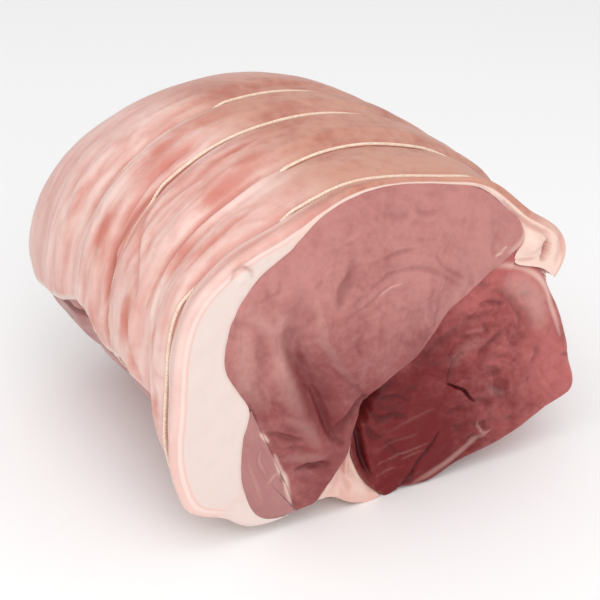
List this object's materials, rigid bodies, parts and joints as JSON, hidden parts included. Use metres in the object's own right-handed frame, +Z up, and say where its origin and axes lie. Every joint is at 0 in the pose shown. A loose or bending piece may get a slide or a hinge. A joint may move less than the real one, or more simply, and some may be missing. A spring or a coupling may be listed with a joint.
{
  "type": "boneless pork leg joint",
  "caption": "Rolled and tied boneless pork leg: rind and fat over the top and left side, lean muscles on the cut face in front, string round it.",
  "frame": {"origin": "on the floor, under the middle of the joint's bounding box", "axes": "+Z up; the roll lies along Y with its main cut face towards -Y and its rounded far end towards +Y; +X is to the right as one looks at the cut face"},
  "size_m": [0.1988, 0.191, 0.1541],
  "materials": {
    "lean_pale": "moist raw lean pork, pale red, satin",
    "lean_dark": "moist raw lean pork, dark red, satin",
    "lean_grey": "moist raw lean pork, greyish pink, satin",
    "fat": "raw pork fat, pinkish white, smooth and waxy",
    "rind": "raw pork rind over fat, pale pink, puckered, with a soft sheen",
    "string": "twisted cotton butcher's string, cream, damp"
  },
  "bodies": {
    "root": {"eye_muscle": "lean_pale", "round_muscle": "lean_dark", "small_muscle": "lean_grey", "seam_fat": "fat", "rind_and_fat": "rind", "string_tie_1": "string", "string_tie_2": "string", "string_tie_3": "string", "string_tie_4": "string"}
  },
  "joints": []
}
